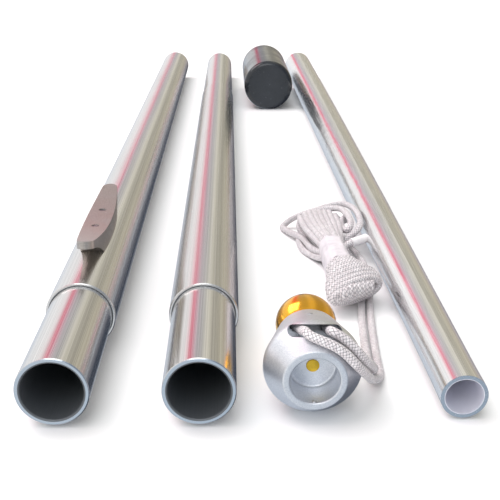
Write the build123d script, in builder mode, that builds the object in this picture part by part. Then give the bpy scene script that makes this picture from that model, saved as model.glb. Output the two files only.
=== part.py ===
from build123d import *
from math import asin, atan, atan2, cos, hypot, pi, radians, sin, sqrt, tan
import os

os.makedirs("parts", exist_ok=True)

# Sectional aluminium flagpole, laid out on the floor as a set: three pole sections side by side,
# the head with its ball, the halyard in a hank and the ground sleeve.
# Millimetres. +X to the right, +Y along the pole sections, +Z up, origin on the floor at the
# middle of the set.

# Pole sections
pole_diameter = 76.2
pole_wall = 3.7
pole_socket_depth = 170
pole_socket_ream = 0.4
section_length = 1980
spigot_reach = 164
spigot_grip = 120
spigot_wall = 5.2
spigot_relief_width = 3
spigot_relief_depth = 0.6
slip_clearance = 0.3
reduced_diameter = 72.4
reduced_length = 540
end_chamfer = 1.0
lower_x = -187.4
middle_x = -53.3

# Top section, which tapers with a slight swell
top_length = 1966
top_tip_diameter = 45.2
top_tip_land = 42
top_wall = 4.2
top_swell = 1.9
top_rest_share = 0.56
top_tip_x = 195.4
top_tip_setback = 12
top_turn = 0.234

# Cleat on the lower section
cleat_length = 230
cleat_width = 32
cleat_tip_width = 20
cleat_foot_length = 118
cleat_seat_height = 19
cleat_spare_stock = 1
cleat_tip_height = 30
cleat_tip_thickness = 9.5
cleat_below_tip = 328
cleat_screw_spacing = 62
screw_head_diameter = 9.6
screw_head_height = 3
screw_slot_width = 1.3
screw_slot_depth = 1.4
screw_shank_diameter = 5

# Head casting, which takes the tip of the pole in its socket. Lengths run back from its mouth.
truck_x = 52.3
truck_setback = 4
socket_clearance = 0.4
socket_depth = 30
socket_floor_fillet = 3
collar_wall = 5.6
collar_length = 3
waist_radius = 30
waist_at = 5
bulge_radius = 46.2
bulge_at = 42
bulge_start = 24
shoulder_at = 84
shoulder_radius = 40.5
crown_at = 92
crown_radius = 30

# Sheave and the slot it turns in, which rises towards the mouth
sheave_at = 52
sheave_height = 30.7
slot_rise = 20
slot_width = 45.4
slot_gap = 11.8
sheave_side_gap = 0.4
sheave_radius = 17.5
sheave_axle_diameter = 7
axle_running_gap = 0.06
axle_grip = 7

# Ball finial
ball_radius = 35.4
ball_at = 149
spindle_diameter = 12.7
spindle_in_ball = 20
spindle_stand_out = 1.5
neck_radius = 11
set_screw_diameter = 8
set_screw_length = 22
set_screw_at = 9
set_screw_set_back = 0.3

# Halyard
rope_diameter = 9.2
rope_clearance = 0.25
tail_length = 36

# Ground sleeve with one closed, rounded end
sleeve_diameter = 121.8
sleeve_length = 318
sleeve_wall = 4
sleeve_round = 12
sleeve_x = 75.4
sleeve_from_far_end = 497

near_y = -section_length / 2
pole_radius = pole_diameter / 2
pole_bore_radius = pole_radius - pole_wall
pole_socket_radius = pole_bore_radius + pole_socket_ream
spigot_radius = pole_socket_radius - slip_clearance
far_y = near_y + section_length
sleeve_y = far_y - sleeve_from_far_end
spigot_bore_radius = spigot_radius - spigot_wall
shoulder_y = near_y + spigot_reach
rope_radius = rope_diameter / 2


def along_y(x, y, z):
    """A plane facing +Y, with its own X along the row's X."""
    return Plane(origin=(x, y, z), x_dir=(1, 0, 0), z_dir=(0, 1, 0))


def ring(plane, outer, inner, length):
    """A straight pipe that starts on a plane."""
    with BuildPart() as pipe:
        with BuildSketch(plane):
            Circle(outer)
            Circle(inner, mode=Mode.SUBTRACT)
        extrude(amount=length)
    return pipe


def save(piece, name):
    """Labels a finished piece and writes it to its own file."""
    piece.part.label = name
    export_step(piece.part, f"parts/{name}.step")


# Spigots, each gripped in the upper end of its section, with a turned relief at the joint
for name, x in (("lower_spigot", lower_x), ("middle_spigot", middle_x)):
    with BuildPart() as spigot:
        with BuildSketch(along_y(x, near_y, pole_radius)):
            Circle(spigot_radius)
        extrude(amount=spigot_reach)
        with BuildSketch(along_y(x, shoulder_y, pole_radius)):
            Circle(pole_bore_radius)
        extrude(amount=spigot_grip)
        with BuildSketch(along_y(x, near_y, pole_radius)):
            Circle(spigot_bore_radius)
        extrude(amount=spigot_reach + spigot_grip, mode=Mode.SUBTRACT)
        with BuildSketch(along_y(x, shoulder_y - spigot_relief_width, pole_radius)):
            Circle(spigot_radius)
            Circle(spigot_radius - spigot_relief_depth, mode=Mode.SUBTRACT)
        extrude(amount=spigot_relief_width, mode=Mode.SUBTRACT)
        chamfer(spigot.faces().sort_by(Axis.Y)[0].edges(), end_chamfer)
    save(spigot, name)

# Cleat with two horns, seated on the crown of the lower section
cleat_y = near_y + cleat_below_tip
cleat_plane = Plane(origin=(lower_x, cleat_y, pole_diameter), x_dir=(0, 1, 0), z_dir=(1, 0, 0))
half_foot = cleat_foot_length / 2
half_cleat = cleat_length / 2
profile_reach = half_cleat + cleat_spare_stock
tip_under = cleat_tip_height - cleat_tip_thickness
saddle_drop = pole_radius - sqrt(pole_radius**2 - (cleat_width / 2) ** 2) + cleat_spare_stock

with BuildPart() as cleat:
    with BuildSketch(cleat_plane):
        with BuildLine():
            Line((half_foot, -saddle_drop), (-half_foot, -saddle_drop))
            ThreePointArc(
                (-half_foot, -saddle_drop),
                (-(half_foot + profile_reach) / 2, tip_under * 0.62),
                (-profile_reach, tip_under),
            )
            Line((-profile_reach, tip_under), (-profile_reach, cleat_tip_height))
            ThreePointArc(
                (-profile_reach, cleat_tip_height), (0, cleat_seat_height), (profile_reach, cleat_tip_height)
            )
            Line((profile_reach, cleat_tip_height), (profile_reach, tip_under))
            ThreePointArc(
                (profile_reach, tip_under),
                ((half_foot + profile_reach) / 2, tip_under * 0.62),
                (half_foot, -saddle_drop),
            )
        make_face()
    extrude(amount=cleat_width / 2, both=True)
    plan_tip = half_cleat - cleat_tip_width / 2
    with BuildSketch(Plane.XY.offset(pole_diameter - saddle_drop)):
        with BuildLine(Plane(origin=(lower_x, cleat_y, pole_diameter - saddle_drop))):
            ThreePointArc(
                (-cleat_tip_width / 2, -plan_tip),
                (0, -half_cleat),
                (cleat_tip_width / 2, -plan_tip),
            )
            ThreePointArc(
                (cleat_tip_width / 2, -plan_tip), (cleat_width / 2, 0), (cleat_tip_width / 2, plan_tip)
            )
            ThreePointArc(
                (cleat_tip_width / 2, plan_tip), (0, half_cleat), (-cleat_tip_width / 2, plan_tip)
            )
            ThreePointArc(
                (-cleat_tip_width / 2, plan_tip),
                (-cleat_width / 2, 0),
                (-cleat_tip_width / 2, -plan_tip),
            )
        make_face()
    extrude(amount=cleat_tip_height + saddle_drop, mode=Mode.INTERSECT)
    with BuildSketch(along_y(lower_x, cleat_y - half_cleat, pole_radius)):
        Circle(pole_radius)
    extrude(amount=cleat_length, mode=Mode.SUBTRACT)
    with Locations(
        (lower_x, cleat_y - cleat_screw_spacing / 2, pole_diameter + cleat_seat_height + 1),
        (lower_x, cleat_y + cleat_screw_spacing / 2, pole_diameter + cleat_seat_height + 1),
    ):
        Hole(screw_shank_diameter / 2)
        Cylinder(
            screw_head_diameter / 2,
            screw_head_height + 1,
            align=(Align.CENTER, Align.CENTER, Align.MAX),
            mode=Mode.SUBTRACT,
        )
save(cleat, "cleat")

# Slotted cleat screws, through the cleat and the wall of the pole
screw_top = pole_diameter + cleat_seat_height
screw_end = pole_diameter - pole_wall - 4
for name, side in (("cleat_screw_upper", -1), ("cleat_screw_lower", 1)):
    screw_y = cleat_y + side * cleat_screw_spacing / 2
    with BuildPart() as screw:
        with BuildSketch(Plane.XY.offset(screw_top)):
            with Locations((lower_x, screw_y)):
                Circle(screw_head_diameter / 2)
        extrude(amount=-screw_head_height)
        with BuildSketch(Plane.XY.offset(screw_end)):
            with Locations((lower_x, screw_y)):
                Circle(screw_shank_diameter / 2)
        extrude(amount=screw_top - screw_head_height - screw_end)
        with Locations((lower_x, screw_y, screw_top)):
            Box(
                screw_head_diameter,
                screw_slot_width,
                screw_slot_depth,
                align=(Align.CENTER, Align.CENTER, Align.MAX),
                mode=Mode.SUBTRACT,
            )
    save(screw, name)

# Lower section, drilled for the cleat screws
with BuildPart() as lower_tube:
    with BuildSketch(along_y(lower_x, shoulder_y, pole_radius)):
        Circle(pole_radius)
        Circle(pole_bore_radius, mode=Mode.SUBTRACT)
    extrude(amount=section_length - spigot_reach)
    chamfer(lower_tube.faces().sort_by(Axis.Y)[0].edges().sort_by(Edge.length)[-1], end_chamfer)
    for side in (-1, 1):
        with Locations((lower_x, cleat_y + side * cleat_screw_spacing / 2, pole_diameter - pole_wall / 2)):
            Cylinder(screw_shank_diameter / 2, pole_wall * 2, mode=Mode.SUBTRACT)
    with BuildSketch(along_y(lower_x, far_y - pole_socket_depth, pole_radius)):
        Circle(pole_socket_radius)
    extrude(amount=pole_socket_depth, mode=Mode.SUBTRACT)
save(lower_tube, "lower_tube")

# Middle section, turned down on the outside over its lower end
with BuildPart() as middle_tube:
    with BuildSketch(along_y(middle_x, shoulder_y, pole_radius)):
        Circle(pole_radius)
    extrude(amount=section_length - spigot_reach - reduced_length)
    chamfer(middle_tube.faces().sort_by(Axis.Y)[0].edges(), end_chamfer)
    with BuildSketch(along_y(middle_x, near_y + section_length - reduced_length, pole_radius)):
        Circle(reduced_diameter / 2)
    extrude(amount=reduced_length)
    with BuildSketch(along_y(middle_x, shoulder_y, pole_radius)):
        Circle(pole_bore_radius)
    extrude(amount=section_length - spigot_reach, mode=Mode.SUBTRACT)
    with BuildSketch(along_y(middle_x, far_y - pole_socket_depth, pole_radius)):
        Circle(pole_socket_radius)
    extrude(amount=pole_socket_depth, mode=Mode.SUBTRACT)
save(middle_tube, "middle_tube")

# Top section. Its outside is an arc from the tip land to the butt. It lies on the floor on that
# arc, so its axis leans by the slope of the arc at the point of rest.
tip_radius = top_tip_diameter / 2
taper_length = top_length - top_tip_land
taper_slope = atan((pole_radius - tip_radius) / taper_length)
arc_radius = taper_length**2 / (8 * top_swell)
rest_at = top_length * top_rest_share
rest_offset = rest_at - top_tip_land - taper_length / 2
top_lean = taper_slope - rest_offset / arc_radius
rest_radius = (
    tip_radius
    + (pole_radius - tip_radius) * (rest_at - top_tip_land) / taper_length
    + top_swell
    - rest_offset**2 / (2 * arc_radius)
)
top_tip_z = rest_radius / cos(top_lean) - rest_at * sin(top_lean)
top_axis = Vector(
    -sin(radians(top_turn)) * cos(top_lean), cos(radians(top_turn)) * cos(top_lean), sin(top_lean)
)
top_plane = Plane(
    origin=(top_tip_x, near_y + top_tip_setback, top_tip_z),
    x_dir=top_axis,
    z_dir=top_axis.cross(Vector(0, 0, 1)),
)
swell_middle = (
    top_tip_land + taper_length / 2,
    (tip_radius + pole_radius) / 2 + top_swell,
)
socket_start = top_length - pole_socket_depth
top_bore_radius = pole_radius - top_wall

with BuildPart() as top_tube:
    with BuildSketch(top_plane):
        with BuildLine():
            Polyline(
                (top_length, pole_radius),
                (top_length, pole_socket_radius),
                (socket_start, pole_socket_radius),
                (socket_start, top_bore_radius),
            )
            ThreePointArc(
                (socket_start, top_bore_radius),
                (swell_middle[0], swell_middle[1] - top_wall),
                (top_tip_land, tip_radius - top_wall),
            )
            Polyline(
                (top_tip_land, tip_radius - top_wall),
                (0, tip_radius - top_wall),
                (0, tip_radius),
                (top_tip_land, tip_radius),
            )
            ThreePointArc(
                (top_tip_land, tip_radius), swell_middle, (top_length, pole_radius)
            )
        make_face()
    revolve(axis=Axis(top_plane.origin, top_axis))
save(top_tube, "top_tube")

# Head casting. It lies on its bulge and on the ball, so its axis leans down towards the ball.
bulge_curve = (
    (bulge_at - shoulder_at) ** 2 + (bulge_radius - shoulder_radius) ** 2
) / (2 * (bulge_radius - shoulder_radius))
bulge_centre_radius = bulge_radius - bulge_curve
bulge_to_ball = ball_at - bulge_at
truck_lean = atan2(bulge_centre_radius, bulge_to_ball) + asin(
    (bulge_curve - ball_radius) / hypot(bulge_to_ball, bulge_centre_radius)
)
truck_mouth = Vector(
    truck_x, near_y + truck_setback, ball_radius + ball_at * sin(truck_lean)
)
truck_axis = Vector(0, cos(truck_lean), -sin(truck_lean))
truck_up = Vector(0, sin(truck_lean), cos(truck_lean))
truck_plane = Plane(origin=truck_mouth, x_dir=truck_axis, z_dir=(1, 0, 0))
truck_line = Axis(truck_mouth, truck_axis)
socket_radius = tip_radius + socket_clearance
collar_radius = socket_radius + collar_wall
bulge_start_radius = bulge_centre_radius + sqrt(bulge_curve**2 - (bulge_at - bulge_start) ** 2)

slot_direction = truck_axis * -cos(radians(slot_rise)) + truck_up * sin(radians(slot_rise))
sheave_axis = truck_axis * sin(radians(slot_rise)) + truck_up * cos(radians(slot_rise))
sheave_centre = truck_mouth + truck_axis * sheave_at + truck_up * sheave_height
sheave_plane = Plane(origin=sheave_centre, x_dir=(1, 0, 0), z_dir=sheave_axis)
slot_back = sheave_radius + 2
slot_reach = 60
axle_radius = sheave_axle_diameter / 2
spindle_radius = spindle_diameter / 2
set_screw_centre = truck_mouth + truck_axis * set_screw_at


def is_circle_of(edge, radius):
    """Whether an edge is a circle of the given radius."""
    return edge.geom_type == GeomType.CIRCLE and abs(edge.radius - radius) < 0.01


with BuildPart() as truck_body:
    with BuildSketch(truck_plane):
        with BuildLine():
            Polyline(
                (crown_at, 0),
                (0, 0),
                (0, collar_radius - 1.2),
            )
            ThreePointArc(
                (0, collar_radius - 1.2), (0.35, collar_radius - 0.35), (1.2, collar_radius)
            )
            Line((1.2, collar_radius), (collar_length, collar_radius))
            Spline(
                (collar_length, collar_radius),
                (waist_at + 4, waist_radius + 3.2),
                (bulge_start, bulge_start_radius),
                tangents=((1, 0.25), (1, 0.16)),
            )
            ThreePointArc(
                (bulge_start, bulge_start_radius),
                (bulge_at, bulge_radius),
                (shoulder_at, shoulder_radius),
            )
            ThreePointArc(
                (shoulder_at, shoulder_radius),
                (crown_at - 1.6, (shoulder_radius + crown_radius) / 2 + 1.8),
                (crown_at, crown_radius),
            )
            Line((crown_at, crown_radius), (crown_at, 0))
        make_face()
    revolve(axis=truck_line)
    with BuildSketch(Plane(origin=truck_mouth, x_dir=(1, 0, 0), z_dir=truck_axis)):
        Circle(socket_radius)
    extrude(amount=socket_depth, mode=Mode.SUBTRACT)
    socket_rim = truck_body.edges().filter_by(lambda edge: is_circle_of(edge, socket_radius))
    fillet(socket_rim.sort_by(Axis.Y)[-1], socket_floor_fillet)
    with BuildSketch(Plane(origin=truck_mouth, x_dir=(1, 0, 0), z_dir=truck_axis)):
        Circle(spindle_radius)
    extrude(amount=crown_at, mode=Mode.SUBTRACT)
    with BuildSketch(sheave_plane):
        with BuildLine():
            Line((slot_width / 2, 0), (slot_width / 2, -slot_reach))
            Line((slot_width / 2, -slot_reach), (-slot_width / 2, -slot_reach))
            Line((-slot_width / 2, -slot_reach), (-slot_width / 2, 0))
            ThreePointArc((-slot_width / 2, 0), (0, slot_back), (slot_width / 2, 0))
        make_face()
    extrude(amount=slot_gap / 2, both=True, mode=Mode.SUBTRACT)
    with BuildSketch(sheave_plane.offset(-slot_gap / 2 - axle_grip)):
        Circle(axle_radius)
    extrude(amount=slot_gap + axle_grip * 4, mode=Mode.SUBTRACT)
    with BuildSketch(Plane(origin=set_screw_centre, x_dir=(1, 0, 0), z_dir=-truck_up)):
        Circle(set_screw_diameter / 2)
    extrude(amount=bulge_radius, mode=Mode.SUBTRACT)
save(truck_body, "truck_body")

# Sheave with a round-bottomed rope groove
half_sheave = slot_gap / 2 - sheave_side_gap
groove_radius = rope_radius + rope_clearance
pitch_radius = sheave_radius - 2.6
groove_depth_radius = pitch_radius - groove_radius
with BuildPart() as truck_sheave:
    with BuildSketch(sheave_plane):
        Circle(sheave_radius)
        Circle(axle_radius + axle_running_gap, mode=Mode.SUBTRACT)
    extrude(amount=half_sheave, both=True)
    with BuildSketch(Plane(origin=sheave_centre, x_dir=(1, 0, 0), z_dir=slot_direction)):
        with Locations((pitch_radius, 0)):
            Circle(groove_radius)
        with Locations((pitch_radius + groove_radius, 0)):
            Rectangle(groove_radius * 2, groove_radius * 2)
    revolve(axis=Axis(sheave_centre, sheave_axis), mode=Mode.SUBTRACT)
save(truck_sheave, "truck_sheave")

with BuildPart() as sheave_axle:
    with BuildSketch(sheave_plane.offset(-slot_gap / 2 - axle_grip + 0.2)):
        Circle(axle_radius)
    extrude(amount=slot_gap + axle_grip + 4.5)
save(sheave_axle, "sheave_axle")

with BuildPart() as truck_set_screw:
    with BuildSketch(
        Plane(
            origin=set_screw_centre - truck_up * (socket_radius + set_screw_set_back),
            x_dir=(1, 0, 0),
            z_dir=-truck_up,
        )
    ):
        Circle(set_screw_diameter / 2)
    extrude(amount=12)
save(truck_set_screw, "truck_set_screw")

# Ball, its neck and the spindle that screws both to the crown
ball_centre = truck_mouth + truck_axis * ball_at
ball_near = ball_at - sqrt(ball_radius**2 - neck_radius**2)
with BuildPart() as finial_ball:
    with Locations(ball_centre):
        Sphere(ball_radius)
    ball_front = truck_mouth + truck_axis * (ball_at - ball_radius - 1)
    with BuildSketch(Plane(origin=ball_front, x_dir=(1, 0, 0), z_dir=truck_axis)):
        Circle(spindle_radius)
    extrude(amount=spindle_in_ball + 3, mode=Mode.SUBTRACT)
save(finial_ball, "finial_ball")

with BuildPart() as ball_neck:
    crown = truck_mouth + truck_axis * crown_at
    with BuildSketch(Plane(origin=crown, x_dir=(1, 0, 0), z_dir=truck_axis)):
        Circle(neck_radius)
        Circle(spindle_radius, mode=Mode.SUBTRACT)
    extrude(amount=ball_near - crown_at)
    with Locations(ball_centre):
        Sphere(ball_radius, mode=Mode.SUBTRACT)
save(ball_neck, "ball_neck")

with BuildPart() as ball_spindle:
    with BuildSketch(
        Plane(
            origin=truck_mouth + truck_axis * (socket_depth - spindle_stand_out),
            x_dir=(1, 0, 0),
            z_dir=truck_axis,
        )
    ):
        Circle(spindle_radius)
    extrude(amount=ball_at - ball_radius + spindle_in_ball - socket_depth + spindle_stand_out)
save(ball_spindle, "ball_spindle")

# Halyard: half a turn round the sheave, then two falls that lie side by side to the hank
with BuildPart() as halyard_bight:
    with BuildSketch(Plane(origin=sheave_centre, x_dir=(1, 0, 0), z_dir=slot_direction)):
        with Locations((pitch_radius, 0)):
            Circle(rope_radius)
    revolve(axis=Axis(sheave_centre, sheave_axis), revolution_arc=180)
save(halyard_bight, "halyard_bight")

left_start = sheave_centre - Vector(pitch_radius, 0, 0)
right_start = sheave_centre + Vector(pitch_radius, 0, 0)
left_route = [
    left_start,
    left_start + slot_direction * 40,
    Vector(55, -983, 88.5),
    Vector(75, -985, 79.5),
    Vector(88.5, -984, 61),
    Vector(103.5, -969, 43),
    Vector(115, -936, 19),
    Vector(130, -907, 5),
    Vector(132, -877, 4.8),
    Vector(136, -832, 4.8),
    Vector(142, -770, 4.8),
    Vector(151, -700, 4.8),
    Vector(158, -640, 4.8),
    Vector(160, -590, 4.8),
    Vector(154, -553, 7),
    Vector(143, -532, 11),
    Vector(132, -517, 14),
    Vector(125.5, -509, 17),
]
right_route = [
    right_start,
    right_start + slot_direction * 38,
    Vector(78, -976.5, 85),
    Vector(88, -976.5, 72),
    Vector(103, -969.5, 58),
    Vector(116.5, -937, 32),
    Vector(121, -895, 7),
    Vector(122, -865, 4.8),
    Vector(125, -820, 4.8),
    Vector(131, -760, 4.8),
    Vector(140, -700, 4.8),
    Vector(147.5, -640, 4.8),
    Vector(149.5, -592, 4.8),
    Vector(144, -562, 7),
    Vector(134, -543, 12),
    Vector(125, -532, 16),
]


def arc_radii(route):
    """The largest arc at each corner of a route: 0.45 of the shorter run over the tangent of half the turn."""
    found = []
    for before, corner, after in zip(route, route[1:], route[2:]):
        into = corner - before
        out = after - corner
        turn = radians(into.get_angle(out))
        found.append(0.45 * min(into.length, out.length) / tan(turn / 2))
    return found


for name, route in (("halyard_fall_left", left_route), ("halyard_fall_right", right_route)):
    radii = arc_radii(route)
    print(name, "radii", [round(r) for r in radii])
    with BuildPart() as fall:
        with BuildLine() as path:
            FilletPolyline(*route, radius=radii)
        with BuildSketch(Plane(origin=route[0], z_dir=path.line % 0)):
            Circle(rope_radius)
        sweep(path=path.line)
    straight = path.wires()[0].length * pi * rope_radius**2
    print(name, "volume over that of a straight rope", round(fall.part.volume / straight, 4))
    save(fall, name)

# Hank: each station is its place along Y, the middle in X and Z, and half its width and height
hank_stations = (
    (-742, 128, 30, 28, 15),
    (-705, 126, 33, 33, 20.5),
    (-650, 117, 27, 22.5, 19.5),
    (-572, 109.5, 20, 19.5, 19.5),
    (-500, 107, 20.5, 22, 20),
    (-440, 107, 21, 26, 20.5),
    (-402, 109, 18, 20, 12),
)
with BuildPart() as halyard_hank:
    for y, x, z, half_width, half_height in hank_stations:
        with BuildSketch(along_y(x, y, z)):
            Ellipse(half_width, half_height)
    loft()
save(halyard_hank, "halyard_hank")

with BuildPart() as halyard_tail:
    with BuildSketch(Plane(origin=(127, -574, 27), z_dir=(31, 18, 1))):
        Circle(rope_radius)
    extrude(amount=tail_length)
save(halyard_tail, "halyard_tail")

# Ground sleeve, closed and rounded at its near end
with BuildPart() as ground_sleeve:
    with BuildSketch(along_y(sleeve_x, sleeve_y, sleeve_diameter / 2)):
        Circle(sleeve_diameter / 2)
    extrude(amount=sleeve_length)
    fillet(ground_sleeve.faces().sort_by(Axis.Y)[0].edges(), sleeve_round)
    offset(amount=-sleeve_wall, openings=ground_sleeve.faces().sort_by(Axis.Y)[-1])
save(ground_sleeve, "ground_sleeve")
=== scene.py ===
"""Sectional aluminium flagpole laid out on a pale floor: sections, head, halyard, ground sleeve."""

import logging
import math
from dataclasses import dataclass, field
from enum import Enum
from typing import Sequence

import bmesh
import bpy
import numpy as np
from bpy.types import Material, Mesh, Node, NodeOutputs, NodeTree, Object
from bpy.types import NodeSocket as Socket
from mathutils import Matrix, Vector


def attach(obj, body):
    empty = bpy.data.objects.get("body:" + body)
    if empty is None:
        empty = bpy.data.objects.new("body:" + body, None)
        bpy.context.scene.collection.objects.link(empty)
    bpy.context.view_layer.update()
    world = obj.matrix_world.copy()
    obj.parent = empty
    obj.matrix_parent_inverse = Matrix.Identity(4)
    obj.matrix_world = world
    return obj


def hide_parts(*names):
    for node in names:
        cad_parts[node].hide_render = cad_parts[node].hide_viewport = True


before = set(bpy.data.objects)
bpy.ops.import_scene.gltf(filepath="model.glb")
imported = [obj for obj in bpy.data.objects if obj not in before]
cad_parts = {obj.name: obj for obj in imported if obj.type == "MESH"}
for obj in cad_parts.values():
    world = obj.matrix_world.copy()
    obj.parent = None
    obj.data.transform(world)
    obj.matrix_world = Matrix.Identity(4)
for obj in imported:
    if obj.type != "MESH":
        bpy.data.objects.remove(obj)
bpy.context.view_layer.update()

log = logging.getLogger("flagpole")

Point = tuple[float, float, float]
Colour = tuple[float, float, float]
Outline = Sequence[tuple[float, float]]
Route = tuple[Point, ...]
Table = tuple[tuple[float, ...], ...]

MM = 0.001
CRISP_ANGLE = math.radians(32)
ROPE_DIAMETER = 9.2
NOISE_CORE = (0.35, 0.65)
NOISE_RANGE = (0.3, 0.7)

# A mix node's sockets for colours, by number, because its other types share their names.
MIX_INPUTS = (0, 6, 7)
MIX_RESULT = 2


def metres(points: Sequence[Point]) -> list[Vector]:
    """Points in millimetres as vectors in metres."""
    return [Vector(point) * MM for point in points]


def srgb(colour: Colour) -> tuple[float, ...]:
    """A colour of 0 to 255 display values, as the linear colour that a shader takes."""
    parts = [value / 255 for value in colour]
    linear = [p / 12.92 if p <= 0.04045 else ((p + 0.055) / 1.055) ** 2.4 for p in parts]
    return (*linear, 1.0)


# Node trees


class Tree:
    """A node tree with short calls to add nodes and join their sockets."""

    def __init__(self, tree: NodeTree) -> None:
        """Wraps a node tree."""
        self.tree = tree

    def find(self, kind: str) -> Node:
        """The tree's node of a kind."""
        return next(node for node in self.tree.nodes if node.type == kind)

    def join(self, source: object, target: Socket) -> None:
        """Feeds a socket.

        Args:
            source: Another socket, or the constant that it is set to.
            target: The socket that is fed.
        """
        if isinstance(source, Socket):
            self.tree.links.new(source, target)
        else:
            target.default_value = source

    def feed(self, node: Node, sources: dict[int | str, object]) -> None:
        """Feeds several inputs of a node, each from a socket or a constant."""
        for label, source in sources.items():
            self.join(source, node.inputs[label])

    def add(
        self, kind: str, sources: dict[int | str, object] | None = None, **settings: object
    ) -> Node:
        """Adds a node, sets its properties and feeds its inputs.

        Args:
            kind: The node's type name.
            sources: Names or numbers of inputs, and what feeds them.
            settings: Names of properties and their values.

        Returns:
            The new node.
        """
        node = self.tree.nodes.new(kind)
        for name, value in settings.items():
            setattr(node, name, value)
        self.feed(node, sources or {})
        return node

    def math(self, operation: str, *values: object) -> Socket:
        """The result of a math node on numbers or sockets."""
        return self.add("ShaderNodeMath", dict(enumerate(values)), operation=operation).outputs[0]

    def vector(self, operation: str, *values: object) -> NodeOutputs:
        """The outputs of a vector math node."""
        return self.add(
            "ShaderNodeVectorMath", dict(enumerate(values)), operation=operation
        ).outputs

    def gather(self, *parts: object) -> Socket:
        """A vector from its parts."""
        return self.add("ShaderNodeCombineXYZ", dict(enumerate(parts))).outputs[0]

    def split(self, vector: Socket) -> NodeOutputs:
        """The three parts of a vector."""
        return self.add("ShaderNodeSeparateXYZ", {0: vector}).outputs

    def place(self) -> Socket:
        """The place on the piece, in metres."""
        return self.add("ShaderNodeTexCoord").outputs["Object"]

    def noise(
        self, vector: Socket, scale: object, detail: float = 2.0, roughness: float = 0.5
    ) -> Socket:
        """A noise from about 0.2 to 0.8.

        Args:
            vector: The place that it is read at.
            scale: Its scale.
            detail: How many finer layers it has.
            roughness: How strong those layers are.

        Returns:
            The noise's value.
        """
        values = {"Vector": vector, "Scale": scale, "Detail": detail, "Roughness": roughness}
        return self.add("ShaderNodeTexNoise", values).outputs[0]

    def wave(self, kind: str, scale: float, distortion: float) -> Socket:
        """Rings round the Y axis, or bands along it.

        Args:
            kind: RINGS or BANDS.
            scale: Their scale.
            distortion: How uneven they are.

        Returns:
            The wave's value.
        """
        values = {"Vector": self.place(), "Scale": scale, "Distortion": distortion}
        turns = {"rings_direction": "Y", "bands_direction": "Y"}
        return self.add("ShaderNodeTexWave", values, wave_type=kind, **turns).outputs["Fac"]

    def remap(
        self, value: Socket, low: float, high: float, to_low: float = 0.0, to_high: float = 1.0
    ) -> Socket:
        """A clamped linear change of range.

        Args:
            value: The socket to change.
            low: The value that becomes to_low.
            high: The value that becomes to_high.
            to_low: The result at low.
            to_high: The result at high.

        Returns:
            The result's socket.
        """
        values = enumerate((value, low, high, to_low, to_high))
        return self.add("ShaderNodeMapRange", dict(values)).outputs[0]

    def mix(self, factor: object, first: object, second: object) -> Socket:
        """A mix of two colours, each a socket or display values.

        Args:
            factor: From the first, 0, to the second, 1.
            first: The first colour.
            second: The second colour.

        Returns:
            The mixed colour's socket.
        """
        colours = [srgb(item) if isinstance(item, tuple) else item for item in (first, second)]
        sources = dict(zip(MIX_INPUTS, (factor, *colours)))
        return self.add("ShaderNodeMix", sources, data_type="RGBA").outputs[MIX_RESULT]

    def tint(self, mask: Socket, share: float, first: object, second: object) -> Socket:
        """A mix of two colours by a share of a mask."""
        return self.mix(self.math("MULTIPLY", mask, share), first, second)


def new_group(
    name: str,
    inputs: dict[str, object],
    outputs: Sequence[str],
    output_type: str = "Float",
    kind: str = "ShaderNodeTree",
) -> tuple[Tree, NodeOutputs, Node]:
    """A node group with named sockets.

    Args:
        name: The group's name.
        inputs: Each input's name with its default, or with its type where it has no default.
        outputs: The outputs' names.
        output_type: The outputs' type.
        kind: The type of tree.

    Returns:
        The tree, the sockets that bring its inputs and the node that takes its outputs.
    """
    group = bpy.data.node_groups.new(name, kind)
    for label, value in inputs.items():
        short = value if isinstance(value, str) else type(value).__name__.capitalize()
        socket = group.interface.new_socket(
            name=label, in_out="INPUT", socket_type="NodeSocket" + short
        )
        if short != value:
            socket.default_value = value
    for label in outputs:
        group.interface.new_socket(
            name=label, in_out="OUTPUT", socket_type="NodeSocket" + output_type
        )
    tree = Tree(group)
    return tree, tree.add("NodeGroupInput").outputs, tree.add("NodeGroupOutput")


def drawn_grain_group() -> NodeTree:
    """Fine lines drawn along the pole by the die, with slow changes of tone between them.

    Returns:
        The group: Lines and Tone are values, Height is for a Bump node.
    """
    tree, entry, leave = new_group(
        "drawn_grain", {"Lines Across": 900.0, "Lines Along": 2.0}, ("Lines", "Tone", "Height")
    )
    x, y, z = tree.split(tree.place())
    found = []
    for across_share, along_share, detail in ((1.0, 1.0, 3.0), (0.16, 0.35, 2.0)):
        across = tree.math("MULTIPLY", entry["Lines Across"], across_share)
        along = tree.math("MULTIPLY", entry["Lines Along"], along_share)
        scales = zip((x, y, z), (across, along, across))
        stretched = tree.gather(*(tree.math("MULTIPLY", part, scale) for part, scale in scales))
        found.append(tree.noise(stretched, 1.0, detail))
    lines, tone = found
    height = tree.math("MULTIPLY_ADD", tone, 0.6, lines)
    tree.feed(leave, {"Lines": lines, "Tone": tone, "Height": height})
    return tree.tree


def handling_group() -> NodeTree:
    """Smudges and small scuffs from handling.

    Returns:
        The group: Smudge and Scuff are masks from 0 to 1.
    """
    tree, entry, leave = new_group(
        "handling", {"Scale": 8.0, "Amount": 0.5}, ("Smudge", "Scuff")
    )
    for label, finer, detail, roughness, threshold in (
        ("Smudge", 1.0, 4.0, 0.62, 0.42),
        ("Scuff", 14.0, 5.0, 0.5, 0.66),
    ):
        scale = tree.math("MULTIPLY", entry["Scale"], finer)
        mask = tree.remap(tree.noise(tree.place(), scale, detail, roughness), threshold, 0.72)
        tree.feed(leave, {label: tree.math("MULTIPLY", mask, entry["Amount"])})
    return tree.tree


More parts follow.
